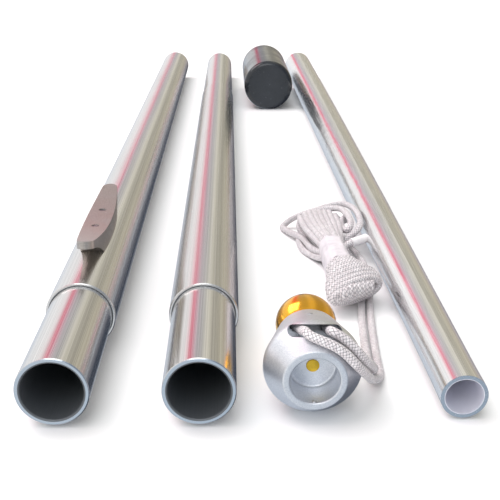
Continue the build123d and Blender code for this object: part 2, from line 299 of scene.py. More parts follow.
def bore_group() -> NodeTree:
    """The inside of a bore that runs along a line, from the distance to that line.

    Returns:
        The group: Inside is 1 nearer the line than the radius, Depth the place along it.
    """
    tree, entry, leave = new_group(
        "bore", {"Start": "Vector", "Line": "Vector", "Radius": 0.03}, ("Inside", "Depth")
    )
    offset = tree.vector("SUBTRACT", tree.place(), entry["Start"])[0]
    depth = tree.vector("DOT_PRODUCT", offset, entry["Line"])["Value"]
    cross = tree.vector("CROSS_PRODUCT", offset, entry["Line"])[0]
    away = tree.vector("LENGTH", cross)["Value"]
    inside = tree.math("LESS_THAN", away, entry["Radius"])
    tree.feed(leave, {"Inside": inside, "Depth": depth})
    return tree.tree


def braid_pattern(
    tree: Tree, around: Socket, along: Socket, crown_power: float
) -> tuple[Socket, list[Socket], list[Socket]]:
    """A diamond braid, in which strands of the two ways round go over each other in turn.

    Args:
        tree: The tree that it is built in.
        around: The place round the rope, in strands.
        along: The place along the rope, in picks.
        crown_power: How flat a strand's crown is.

    Returns:
        The height of the crown, and for each way the place and its whole part.
    """
    ways = [tree.math(operation, around, along) for operation in ("ADD", "SUBTRACT")]
    floors = [tree.math("FLOOR", way) for way in ways]
    crowns = []
    for way in ways:
        off_middle = tree.math("MULTIPLY_ADD", tree.math("FRACT", way), 2.0, -1.0)
        fall = tree.math("POWER", tree.math("ABSOLUTE", off_middle), crown_power)
        crowns.append(tree.math("SUBTRACT", 1.0, fall))
    over = tree.math("PINGPONG", tree.math("ADD", *floors), 1.0)
    under = tree.math("SUBTRACT", 1.0, over)
    shares = [tree.math("MULTIPLY", *pair) for pair in zip(crowns, (over, under))]
    return tree.math("ADD", *shares), ways, floors


def braid_group() -> NodeTree:
    """Strands of a braid, from the rope's own attribute: angle as two parts, and length.

    Returns:
        The group: Height is the crown, Strand differs from pick to pick, Fibre runs in strands.
    """
    tree, entry, leave = new_group(
        "rope_braid", {"Strands": 6.0, "Pick": 0.0036}, ("Height", "Strand", "Fibre")
    )
    lay = tree.add("ShaderNodeAttribute", attribute_name="rope_lay")
    right, up, length = tree.split(lay.outputs["Vector"])
    turn = tree.math("DIVIDE", tree.math("ARCTAN2", up, right), math.tau)
    around = tree.math("MULTIPLY", turn, entry["Strands"])
    along = tree.math("DIVIDE", length, entry["Pick"])
    height, ways, floors = braid_pattern(tree, around, along, 2.4)
    strand = tree.add(
        "ShaderNodeTexWhiteNoise", {"Vector": tree.gather(*floors)}, noise_dimensions="2D"
    )
    fibre = tree.noise(tree.gather(*(tree.math("MULTIPLY", way, 7.0) for way in ways)), 1.0)
    tree.feed(leave, {"Height": height, "Strand": strand.outputs["Value"], "Fibre": fibre})
    return tree.tree


class Groups:
    """The shared shader effects, each built once."""

    def __init__(self) -> None:
        """Builds the groups."""
        self.grain = drawn_grain_group()
        self.handling = handling_group()
        self.bore = bore_group()
        self.braid = braid_group()


class Surface(Tree):
    """The tree of a piece's material, with its shader and its marks of handling."""

    def __init__(self, name: str, groups: Groups, mark_scale: float, mark_amount: float) -> None:
        """Starts the material.

        Args:
            name: The material's name.
            groups: The shared shader effects.
            mark_scale: The scale of the marks.
            mark_amount: How strong they are.
        """
        self.material = bpy.data.materials.new(name)
        self.material.use_nodes = True
        super().__init__(self.material.node_tree)
        self.groups = groups
        self.shader = self.find("BSDF_PRINCIPLED")
        marks = self.effect(groups.handling, Scale=mark_scale, Amount=mark_amount)
        self.smudge, self.scuff = marks["Smudge"], marks["Scuff"]

    def effect(self, group: NodeTree, **values: object) -> NodeOutputs:
        """Puts a shared effect in the material.

        Args:
            group: The effect's group.
            values: Input names, with underscores for spaces, and their values.

        Returns:
            The effect's outputs.
        """
        named = {name.replace("_", " "): value for name, value in values.items()}
        return self.add("ShaderNodeGroup", named, node_tree=group).outputs

    def feed_shader(self, colour: Socket, roughness: Socket, **values: object) -> None:
        """Feeds the shader.

        Args:
            colour: The surface's colour.
            roughness: Its roughness.
            values: Other inputs, with underscores for spaces, and their values.
        """
        named = {name.replace("_", " "): value for name, value in values.items()}
        self.feed(self.shader, {"Base Color": colour, "Roughness": roughness, **named})


# Finishes


@dataclass(frozen=True, kw_only=True)
class Finish:
    """What every finish has: marks of handling, a roughness and a fine relief.

    The marks have a scale and an amount, and the relief a strength and a height in metres.
    """

    name: str
    marks: tuple[float, float]
    roughness: float
    relief: tuple[float, float]

    def paint(self, on: Surface) -> Socket:
        """Feeds the shader's colour and roughness, and returns the height of the relief."""
        raise NotImplementedError

    def make(self, groups: Groups) -> Material:
        """Builds the material.

        Args:
            groups: The shared shader effects.

        Returns:
            The material.
        """
        on = Surface(self.name, groups, *self.marks)
        height = self.paint(on)
        strength, distance = self.relief
        values = {"Height": height, "Strength": strength, "Distance": distance}
        on.feed(on.shader, {"Normal": on.add("ShaderNodeBump", values).outputs[0]})
        return on.material


@dataclass(frozen=True, kw_only=True)
class DrawnAluminium(Finish):
    """Drawn pole tube: satin along its length, duller and rougher inside, where the bore's colour
    is painted shade, with a painted bluish reflection on the sawn end.
    """

    start: Point
    line: Point
    bore_radius: float
    bright: Colour = (236, 234, 232)
    dull: Colour = (205, 203, 201)
    toned: Colour = (222, 221, 220)
    smudged: Colour = (196, 194, 190)
    # Painted shade: the bore's colour is darkened to stand in for the shade inside the tube.
    inside: Colour = (104, 108, 112)
    # Painted reflection: the sawn end's bluish tint stands in for the pale surroundings that it
    # reflects.
    sawn: Colour = (190, 200, 210)
    sawn_depth: float = 0.0006
    lines_across: float = 1100.0
    lines_along: float = 2.4
    marks: tuple[float, float] = (5.0, 0.5)
    roughness: float = 0.2
    relief: tuple[float, float] = (0.12, 0.00004)

    def paint(self, on: Surface) -> Socket:
        """Feeds the colours of the skin, the sawn end's painted reflection and the bore's painted
        shade.

        Args:
            on: The material's surface.

        Returns:
            The height of the drawn lines.
        """
        grain = on.effect(
            on.groups.grain, Lines_Across=self.lines_across, Lines_Along=self.lines_along
        )
        bore = on.effect(
            on.groups.bore, Start=self.start, Line=self.line, Radius=self.bore_radius
        )
        skin = on.mix(on.remap(grain["Lines"], *NOISE_CORE), self.dull, self.bright)
        skin = on.tint(grain["Tone"], 0.4, skin, self.toned)
        skin = on.tint(on.smudge, 0.25, skin, self.smudged)
        # The sawn end takes the painted bluish reflection.
        skin = on.mix(on.math("LESS_THAN", bore["Depth"], self.sawn_depth), skin, self.sawn)
        smoothest, roughest = self.roughness - 0.04, self.roughness + 0.08
        rough = on.remap(grain["Lines"], *NOISE_RANGE, smoothest, roughest)
        rough = on.math("MULTIPLY_ADD", on.smudge, 0.08, rough)
        # Inside the bore the colour is the painted shade, and the metal is duller and rougher.
        on.feed_shader(
            on.mix(bore["Inside"], skin, self.inside),
            on.math("MULTIPLY_ADD", bore["Inside"], 0.3, rough),
            Metallic=on.math("MULTIPLY_ADD", bore["Inside"], -0.6, 1.0),
        )
        return grain["Height"]


@dataclass(frozen=True, kw_only=True)
class CastAluminium(Finish):
    """Tumbled casting: satin, with a fine orange-peel grain."""

    pale: Colour
    shade: Colour
    smudged: Colour = (188, 190, 194)
    scuffed: Colour = (240, 241, 243)
    metallic: float = 0.85
    grain_scale: float = 900.0
    marks: tuple[float, float] = (22.0, 0.7)
    relief: tuple[float, float] = (0.35, 0.00006)

    def paint(self, on: Surface) -> Socket:
        """Feeds the satin skin with its smudges and scuffs.

        Args:
            on: The material's surface.

        Returns:
            The height of the grain.
        """
        peel = on.noise(on.place(), self.grain_scale, 3.0)
        skin = on.mix(on.remap(peel, *NOISE_CORE), self.shade, self.pale)
        skin = on.tint(on.smudge, 0.4, skin, self.smudged)
        skin = on.tint(on.scuff, 0.5, skin, self.scuffed)
        rough = on.math("MULTIPLY_ADD", on.smudge, 0.1, self.roughness)
        on.feed_shader(skin, rough, Metallic=self.metallic)
        return peel


@dataclass(frozen=True, kw_only=True)
class TurnedMetal(Finish):
    """Small turned fitting, with fine rings from the tool."""

    colour: Colour
    dark: Colour
    ring_scale: float = 700.0
    ring_distortion: float = 0.6
    marks: tuple[float, float] = (60.0, 0.8)
    roughness: float = 0.25
    relief: tuple[float, float] = (0.15, 0.00003)

    def paint(self, on: Surface) -> Socket:
        """Feeds the ringed metal.

        Args:
            on: The material's surface.

        Returns:
            The height of the rings.
        """
        rings = on.wave("RINGS", self.ring_scale, self.ring_distortion)
        skin = on.tint(rings, 0.35, self.colour, self.dark)
        skin = on.tint(on.smudge, 0.5, skin, self.dark)
        on.feed_shader(skin, on.math("MULTIPLY_ADD", on.smudge, 0.15, self.roughness), Metallic=1.0)
        return rings


@dataclass(frozen=True, kw_only=True)
class GoldSkin(Finish):
    """Gold anodised skin of the spun ball: deep orange with faint spinning rings."""

    name: str = "gold_ball"
    bright: Colour = (255, 196, 62)
    deep: Colour = (226, 138, 20)
    ring_scale: float = 320.0
    ring_distortion: float = 1.2
    marks: tuple[float, float] = (14.0, 0.6)
    roughness: float = 0.16
    relief: tuple[float, float] = (0.12, 0.00004)

    def paint(self, on: Surface) -> Socket:
        """Feeds the ringed gold under its clear skin.

        Args:
            on: The material's surface.

        Returns:
            The height of the rings.
        """
        rings = on.wave("BANDS", self.ring_scale, self.ring_distortion)
        skin = on.tint(rings, 0.3, self.bright, self.deep)
        skin = on.tint(on.smudge, 0.35, skin, self.deep)
        rough = on.math("MULTIPLY_ADD", rings, 0.05, self.roughness)
        on.feed_shader(skin, rough, Metallic=1.0, Coat_Weight=0.4, Coat_Roughness=0.05)
        return rings


@dataclass(frozen=True, kw_only=True)
class BlackGloss(Finish):
    """Glossy black moulding of the ground sleeve, with light flow marks and dust."""

    name: str = "sleeve_black"
    colour: Colour = (30, 33, 38)
    worn: Colour = (66, 70, 77)
    dusty: Colour = (120, 124, 130)
    marks: tuple[float, float] = (11.0, 1.0)
    roughness: float = 0.14
    relief: tuple[float, float] = (0.1, 0.0003)

    def paint(self, on: Surface) -> Socket:
        """Feeds the black with its flow marks and dust.

        Args:
            on: The material's surface.

        Returns:
            The height of the flow marks.
        """
        skin = on.tint(on.smudge, 0.35, self.colour, self.worn)
        skin = on.tint(on.scuff, 0.3, skin, self.dusty)
        rough = on.math("MULTIPLY_ADD", on.smudge, 0.16, self.roughness)
        on.feed_shader(skin, rough, Specular_IOR_Level=0.6)
        return on.smudge


@dataclass(frozen=True, kw_only=True)
class MouldedNylon(Finish):
    """Pale moulded nylon of the sheave."""

    name: str = "sheave_nylon"
    colour: Colour = (246, 247, 248)
    dark: Colour = (214, 216, 220)
    marks: tuple[float, float] = (90.0, 1.0)
    roughness: float = 0.38
    relief: tuple[float, float] = (0.2, 0.0001)

    def paint(self, on: Surface) -> Socket:
        """Feeds the smudged nylon, and returns the height of its marks."""
        skin = on.tint(on.smudge, 0.6, self.colour, self.dark)
        on.feed_shader(skin, on.math("MULTIPLY_ADD", on.smudge, 0.2, self.roughness))
        return on.smudge


@dataclass(frozen=True, kw_only=True)
class BraidedRope(Finish):
    """Braided halyard, from its own lay attribute."""

    name: str = "halyard_braid"
    crown: Colour = (244, 240, 241)
    # Painted shade: the dark bluish colour in the gaps between strands stands in for the shade that
    # falls there.
    gap: Colour = (70, 70, 84)
    worn: Colour = (200, 191, 194)
    strands: float = 6.0
    pick: float = 0.0036
    marks: tuple[float, float] = (30.0, 0.8)
    roughness: float = 0.52
    relief: tuple[float, float] = (0.9, 0.0006)

    def paint(self, on: Surface) -> Socket:
        """Feeds the strands, worn on their crowns, with painted shade in their gaps.

        Args:
            on: The material's surface.

        Returns:
            The height of the strands and their fibres.
        """
        braid = on.effect(on.groups.braid, Strands=self.strands, Pick=self.pick)
        crown = on.tint(braid["Strand"], 0.6, self.crown, self.worn)
        crown = on.tint(on.smudge, 0.5, crown, self.worn)
        # The low places of the braid take the painted gap shade.
        on.feed_shader(
            on.mix(on.remap(braid["Height"], 0.05, 0.75), self.gap, crown),
            on.remap(braid["Fibre"], *NOISE_RANGE, self.roughness - 0.1, self.roughness + 0.1),
            Sheen_Weight=0.25, Sheen_Roughness=0.4,
        )
        return on.math("MULTIPLY_ADD", braid["Fibre"], 0.25, braid["Height"])


@dataclass(frozen=True, kw_only=True)
class PlainPaper(Finish):
    """Bare paper, soft with creases."""

    name: str = "band_paper"
    colour: Colour = (224, 220, 224)
    aged: Colour = (188, 182, 190)
    pulp_scale: float = 1500.0
    marks: tuple[float, float] = (45.0, 1.0)
    roughness: float = 0.65
    relief: tuple[float, float] = (0.3, 0.0002)

    def paint(self, on: Surface) -> Socket:
        """Feeds the pulpy paper with its aged places.

        Args:
            on: The material's surface.

        Returns:
            The height of the creases and the pulp.
        """
        pulp = on.noise(on.place(), self.pulp_scale, 4.0)
        skin = on.tint(on.smudge, 0.7, self.colour, self.aged)
        on.feed_shader(
            on.tint(pulp, 0.15, skin, self.aged),
            on.remap(pulp, *NOISE_RANGE, self.roughness - 0.1, self.roughness + 0.1),
        )
        return on.math("MULTIPLY_ADD", on.smudge, 2.0, pulp)


def dress_node(name: str, material: Material) -> None:
    """Gives a CAD node its finish.

    Args:
        name: The node's name.
        material: The finish's material.
    """
    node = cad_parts[name]
    node.data.materials.clear()
    node.data.materials.append(material)
    log.info("dressed %s with %s", name, material.name)


# Meshes


def add_object(name: str, data: bpy.types.ID) -> Object:
    """Puts a mesh, curve, camera or light in the scene."""
    item = bpy.data.objects.new(name, data)
    bpy.context.scene.collection.objects.link(item)
    return item


def evaluated_mesh(item: Object) -> Mesh:
    """The plain mesh of a curve, or of a mesh with modifiers."""
    graph = bpy.context.evaluated_depsgraph_get()
    return bpy.data.meshes.new_from_object(item.evaluated_get(graph))


def spline_points(route: Sequence[Vector], resolution: int) -> list[Vector]:
    """Points along a smooth NURBS spline whose control points are the route's.

    Args:
        route: The control points, in metres.
        resolution: Points for each control point.

    Returns:
        The points in order.
    """
    curve = bpy.data.curves.new("route", "CURVE")
    curve.dimensions = "3D"
    spline = curve.splines.new("NURBS")
    spline.points.add(len(route) - 1)
    for point, place in zip(spline.points, route):
        point.co = (*place, 1.0)
    spline.order_u = 3
    spline.use_endpoint_u = True
    spline.resolution_u = resolution
    holder = add_object("route", curve)
    line = evaluated_mesh(holder)
    found = [vertex.co.copy() for vertex in line.vertices]
    bpy.data.objects.remove(holder)
    bpy.data.curves.remove(curve)
    bpy.data.meshes.remove(line)
    return found


def spaced(
    points: Sequence[Vector], fine: float, coarse: float, fine_until: float
) -> list[Vector]:
    """Keeps points closer together near the start of a line than further along.

    Args:
        points: The line's points.
        fine: The least distance between points near the start.
        coarse: The least distance further along.
        fine_until: The length along the line from which the coarse distance holds.

    Returns:
        The points kept.
    """
    kept = [points[0]]
    along = 0.0
    least = fine
    for before, point in zip(points, points[1:]):
        along += (point - before).length
        least = fine if along < fine_until else coarse
        if (point - kept[-1]).length >= least:
            kept.append(point)
    if (points[-1] - kept[-1]).length > least * 0.6:
        kept.append(points[-1])
    else:
        kept[-1] = points[-1]
    return kept


def line_length(points: Sequence[Vector]) -> float:
    """The length of a line of points."""
    return sum((b - a).length for a, b in zip(points, points[1:]))


def rounded_outline(corners: Sequence[Point], steps: int = 8) -> Outline:
    """An outline whose corners are rounded.

    Args:
        corners: Place along the axis, distance from it and rounding of each corner, in millimetres.
        steps: Steps on each rounding.

    Returns:
        The outline's points in order.
    """
    found = []
    for index, (along, away, radius) in enumerate(corners):
        if radius <= 0:
            found.append((along, away))
            continue
        corner = Vector((along, away))
        before = (Vector(corners[index - 1][:2]) - corner).normalized()
        after = (Vector(corners[index + 1][:2]) - corner).normalized()
        half = before.angle(after) / 2
        reach = radius / math.tan(half)
        centre = corner + (before + after).normalized() * (radius / math.sin(half))
        first, last = corner + before * reach - centre, corner + after * reach - centre
        for step in range(steps + 1):
            found.append(tuple(centre + first.lerp(last, step / steps).normalized() * radius))
    return found


def smooth(piece: Object) -> None:
    """Shades a piece smooth and keeps its crisp edges."""
    for polygon in piece.data.polygons:
        polygon.use_smooth = True
    piece.data.set_sharp_from_angle(angle=CRISP_ANGLE)


def as_piece(name: str, shape: bmesh.types.BMesh) -> Object:
    """Turns a built shape into a piece, smooth but for its crisp edges.

    Args:
        name: The piece's name.
        shape: The shape, in metres.

    Returns:
        The piece.
    """
    bmesh.ops.recalc_face_normals(shape, faces=shape.faces)
    mesh = bpy.data.meshes.new(name)
    shape.to_mesh(mesh)
    shape.free()
    piece = add_object(name, mesh)
    smooth(piece)
    return piece


def loft(name: str, rings: Sequence[Sequence[Vector]], looped: bool = False) -> Object:
    """Joins rings of points to one skin. A ring of one point is a pole.

    Args:
        name: The piece's name.
        rings: The rings, in millimetres.
        looped: Whether the last ring is joined to the first.

    Returns:
        The piece.
    """
    shape = bmesh.new()
    made = [[shape.verts.new(place * MM) for place in ring] for ring in rings]
    if looped:
        made.append(made[0])
    for before, after in zip(made, made[1:]):
        for step in range(max(len(before), len(after))):
            places = ((before, step), (before, step + 1), (after, step + 1), (after, step))
            corners = [ring[index % len(ring)] for ring, index in places]
            shape.faces.new(list(dict.fromkeys(corners)))
    return as_piece(name, shape)


def lathe(name: str, outline: Outline, start: Vector, axis: Vector, segments: int) -> Object:
    """Turns an outline round an axis.

    Args:
        name: The piece's name.
        outline: Place along the axis and distance from it of each point, in millimetres.
        start: Where the axis starts, in millimetres.
        axis: The axis's direction.
        segments: Faces round the axis.

    Returns:
        The turned piece.
    """
    side = axis.orthogonal().normalized()
    up = axis.cross(side)
    angles = [math.tau * step / segments for step in range(segments)]
    spokes = [side * math.cos(angle) + up * math.sin(angle) for angle in angles]
    rings = []
    for along, away in outline:
        middle = start + axis * along
        rings.append([middle + spoke * away for spoke in spokes] if away > 0 else [middle])
    return loft(name, rings)


def prism(name: str, ring: Sequence[Vector], push: Vector) -> Object:
    """A flat ring of points pushed to a solid.

    Args:
        name: The piece's name.
        ring: The points, in millimetres.
        push: How far and which way they are pushed.

    Returns:
        The solid.
    """
    shape = bmesh.new()
    near = [shape.verts.new(point * MM) for point in ring]
    far = [shape.verts.new((point + push) * MM) for point in ring]
    shape.faces.new(near)
    shape.faces.new(list(reversed(far)))
    for step in range(len(ring)):
        following = (step + 1) % len(ring)
        shape.faces.new((near[step], far[step], far[following], near[following]))
    return as_piece(name, shape)


def carve(piece: Object, cutters: Sequence[Object]) -> None:
    """Cuts solids out of a piece and removes them.

    Args:
        piece: The piece to cut.
        cutters: The solids that are cut away.
    """
    for cutter in cutters:
        cut = piece.modifiers.new("cut", "BOOLEAN")
        cut.operation = "DIFFERENCE"
        cut.solver = "EXACT"
        cut.object = cutter
    mesh = evaluated_mesh(piece)
    piece.modifiers.clear()
    piece.data = mesh
    for cutter in cutters:
        bpy.data.objects.remove(cutter)
    smooth(piece)


def place_piece(
    piece: Object, material: Material, nodes: Sequence[str] = ()
) -> None:
    """Gives a piece its finish and its place in the frame.

    Args:
        piece: The piece.
        material: Its finish.
        nodes: The CAD nodes that it replaces.
    """
    piece.data.materials.clear()
    piece.data.materials.append(material)
    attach(piece, "set")
    if nodes:
        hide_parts(*nodes)
    log.info("made %s with %d faces", piece.name, len(piece.data.polygons))


class BraidSweep:
    """Geometry Nodes tree that sweeps a braided rope along a line and stores its lay."""

    def __init__(self) -> None:
        """Builds the tree."""
        inputs = {
            "Line": "Geometry", "Radius": 0.0046, "Sides": 24, "Strands": 6.0,
            "Pick": 0.0036, "Relief": 0.0003, "Finish": "Material",
        }
        tree, entry, leave = new_group(
            "braid_sweep", inputs, ("Rope",), "Geometry", "GeometryNodeTree"
        )
        self.tree = tree.tree
        line = tree.add("GeometryNodeMeshToCurve", {0: entry["Line"]}).outputs[0]
        curve, length = self.capture(tree, line, "Length")
        circle = tree.add(
            "GeometryNodeCurvePrimitiveCircle",
            {"Resolution": entry["Sides"], "Radius": entry["Radius"]},
        ).outputs[0]
        profile, turn = self.capture(tree, circle, "Factor")
        swept = {"Curve": curve, "Profile Curve": profile, "Fill Caps": True}
        sweep = tree.add("GeometryNodeCurveToMesh", swept)
        around = tree.math("MULTIPLY", turn, entry["Strands"])
        along = tree.math("DIVIDE", length, entry["Pick"])
        crown, _, _ = braid_pattern(tree, around, along, 2.0)
        lift = tree.math("MULTIPLY", tree.math("SUBTRACT", crown, 1.0), entry["Relief"])
        push = tree.add(
            "ShaderNodeVectorMath",
            {0: tree.add("GeometryNodeInputNormal").outputs[0], "Scale": lift},
            operation="SCALE",
        ).outputs[0]
        raised = tree.add(
            "GeometryNodeSetPosition", {"Geometry": sweep.outputs[0], "Offset": push}
        )
        angle = tree.math("MULTIPLY", turn, math.tau)
        lay = tree.gather(tree.math("COSINE", angle), tree.math("SINE", angle), length)
        store = tree.add(
            "GeometryNodeStoreNamedAttribute", data_type="FLOAT_VECTOR", domain="POINT"
        )
        tree.feed(store, {"Geometry": raised.outputs[0], "Name": "rope_lay", "Value": lay})
        real = tree.add("GeometryNodeRealizeInstances", {0: store.outputs[0]})
        finish = tree.add(
            "GeometryNodeSetMaterial", {"Geometry": real.outputs[0], "Material": entry["Finish"]}
        )
        tree.feed(leave, {"Rope": finish.outputs[0]})

    def capture(self, tree: Tree, curve: Socket, measure: str) -> tuple[Socket, Socket]:
        """Stores a measure of a curve on its points.

        Args:
            tree: The sweep's tree.
            curve: The curve.
            measure: Length or Factor, as the spline parameter has them.

        Returns:
            The curve and the stored measure.
        """
        keep = tree.add("GeometryNodeCaptureAttribute", domain="POINT")
        keep.capture_items.new("FLOAT", measure)
        value = tree.add("GeometryNodeSplineParameter").outputs[measure]
        tree.feed(keep, {0: curve, 1: value})
        return keep.outputs[0], keep.outputs[1]

    def run(self, name: str, points: Sequence[Vector], **values: object) -> Object:
        """Sweeps a rope along a line of points.

        Args:
            name: The piece's name.
            points: The line, in metres.
            values: The tree's inputs by name.

        Returns:
            The rope as a plain mesh object.
        """
        line = bpy.data.meshes.new(name + "_line")
        edges = [(index, index + 1) for index in range(len(points) - 1)]
        line.from_pydata([tuple(point) for point in points], edges, [])
        holder = add_object(name + "_line", line)
        modifier = holder.modifiers.new("sweep", "NODES")
        modifier.node_group = self.tree
        items = [item for item in self.tree.interface.items_tree if item.in_out == "INPUT"]
        sockets = {item.name: item.identifier for item in items}
        for label, value in values.items():
            modifier[sockets[label]] = value
        mesh = evaluated_mesh(holder)
        mesh.name = name
        bpy.data.objects.remove(holder)
        bpy.data.meshes.remove(line)
        for polygon in mesh.polygons:
            polygon.use_smooth = True
        return add_object(name, mesh)


# Pole sections


@dataclass
class PoleSections:
    """The three tubes, with the spigots gripped in two of them."""

    lower_x: float = -187.4
    middle_x: float = -53.3
    near_y: float = -990.0
    axis_z: float = 38.1
    spigot_skin: float = 31.0
    spigot_roughness: float = 0.18
    tube_skin: float = 35.6
    tube_roughness: float = 0.2
    top_tip: Point = (195.4, -978.0, 24.582)
    top_turn: float = 0.234
    top_lean: float = 0.4388
    top_skin: float = 18.9

    def top_line(self) -> Point:
        """The top section's direction, from its tip."""
        turn, lean = math.radians(self.top_turn), math.radians(self.top_lean)
        return (-math.sin(turn) * math.cos(lean), math.cos(turn) * math.cos(lean), math.sin(lean))

    def dress(self, groups: Groups) -> None:
        """Gives each tube and spigot its finish.

        Args:
            groups: The shared shader effects.
        """
        tube = (self.tube_skin, self.tube_roughness)
        spigot = (self.spigot_skin, self.spigot_roughness)
        for name, x, (radius, roughness) in (
            ("lower_tube", self.lower_x, tube),
            ("middle_tube", self.middle_x, tube),
            ("lower_spigot", self.lower_x, spigot),
            ("middle_spigot", self.middle_x, spigot),
        ):
            finish = DrawnAluminium(
                name=name + "_skin", start=(x * MM, self.near_y * MM, self.axis_z * MM),
                line=(0.0, 1.0, 0.0), bore_radius=radius * MM, roughness=roughness,
            )
            dress_node(name, finish.make(groups))
        # The top tube's bore gets a pale colour in place of the painted shade.
        finish = DrawnAluminium(
            name="top_tube_skin", start=tuple(value * MM for value in self.top_tip),
            line=self.top_line(), bore_radius=self.top_skin * MM,
            bright=(255, 255, 255), dull=(238, 237, 236), inside=(242, 242, 250),
        )
        dress_node("top_tube", finish.make(groups))


@dataclass(frozen=True)
class CleatAndScrews:
    """The two-horned cleat on the lower section, and its screws."""

    cleat: Finish = CastAluminium(
        name="cleat_satin", pale=(192, 184, 176), shade=(160, 152, 144), roughness=0.36
    )
    screws: Finish = TurnedMetal(
        name="screw_steel", colour=(196, 196, 198), dark=(120, 120, 124)
    )

    def dress(self, groups: Groups) -> None:
        """Gives the cleat and its screws their finishes.

        Args:
            groups: The shared shader effects.
        """
        dress_node("cleat", self.cleat.make(groups))
        steel = self.screws.make(groups)
        for name in ("cleat_screw_upper", "cleat_screw_lower"):
            dress_node(name, steel)


@dataclass
class SheaveSlot:
    """The inclined slot of the head and the sheave's place in it."""

    centre: Point = (53.611, -939.004, 75.0)
    right: Point = (0.999925, -0.012217, 0.0)
    out: Point = (-0.011018, -0.90176, 0.43209)
    across: Point = (0.00528, 0.43206, 0.90183)
    wide: float = 51.0
    gap: float = 11.8
    floor_ahead: float = -4.0
    depth: float = 80.0
    end_steps: int = 16
    pockets: Outline = ((18.1, 5.75), (20.2, 3.6))
    pocket_segments: int = 96
    sheave_centre: Point = (52.3, -931.016, 76.293)
    sheave_out: Point = (0.0, -0.8978, 0.4405)
    sheave_normal: Point = (0.0, 0.4405, 0.8978)
    pitch_radius: float = 14.9

    def inside(self, side: float, ahead: float, rise: float = 0.0) -> Point:
        """A point given from the slot's middle.

        Args:
            side: How far to its right.
            ahead: How far out of the slot.
            rise: How far across its gap.

        Returns:
            The point in millimetres.
        """
        right, out, across = Vector(self.right), Vector(self.out), Vector(self.across)
        return tuple(Vector(self.centre) + right * side + out * ahead + across * rise)

    def half_turn(self, side: float) -> list[Point]:
        """The quarter turn round the sheave's back to one side.

        Args:
            side: -1 for the left fall, 1 for the right one.

        Returns:
            Control points in millimetres.
        """
        centre, out = Vector(self.sheave_centre), Vector(self.sheave_out)
        right = Vector((1, 0, 0))
        radius = self.pitch_radius
        places = [
            centre - out * radius,
            centre - out * radius + right * (side * radius * 0.6),
            centre - out * radius * 0.6 + right * (side * radius),
            centre + right * (side * radius),
        ]
        return [tuple(place) for place in places]

    def cutters(self) -> list[Object]:
        """The solids that cut the slot's mouth and the pocket round the sheave.

        Returns:
            The round-ended mouth and the pocket's turned parts.
        """
        end = self.gap / 2
        ring = []
        for side in (1, -1):
            for step in range(self.end_steps + 1):
                angle = math.radians(180 * step / self.end_steps - 90 * side)
                place = side * (self.wide / 2 - end) + end * math.cos(angle)
                ring.append(Vector(self.inside(place, self.floor_ahead, end * math.sin(angle))))
        found = [prism("slot_mouth", ring, Vector(self.out) * self.depth)]
        centre, normal = Vector(self.sheave_centre), Vector(self.sheave_normal)
        for radius, half in self.pockets:
            outline = [(-half, 0.0), (-half, radius), (half, radius), (half, 0.0)]
            found.append(lathe("slot_pocket", outline, centre, normal, self.pocket_segments))
        return found


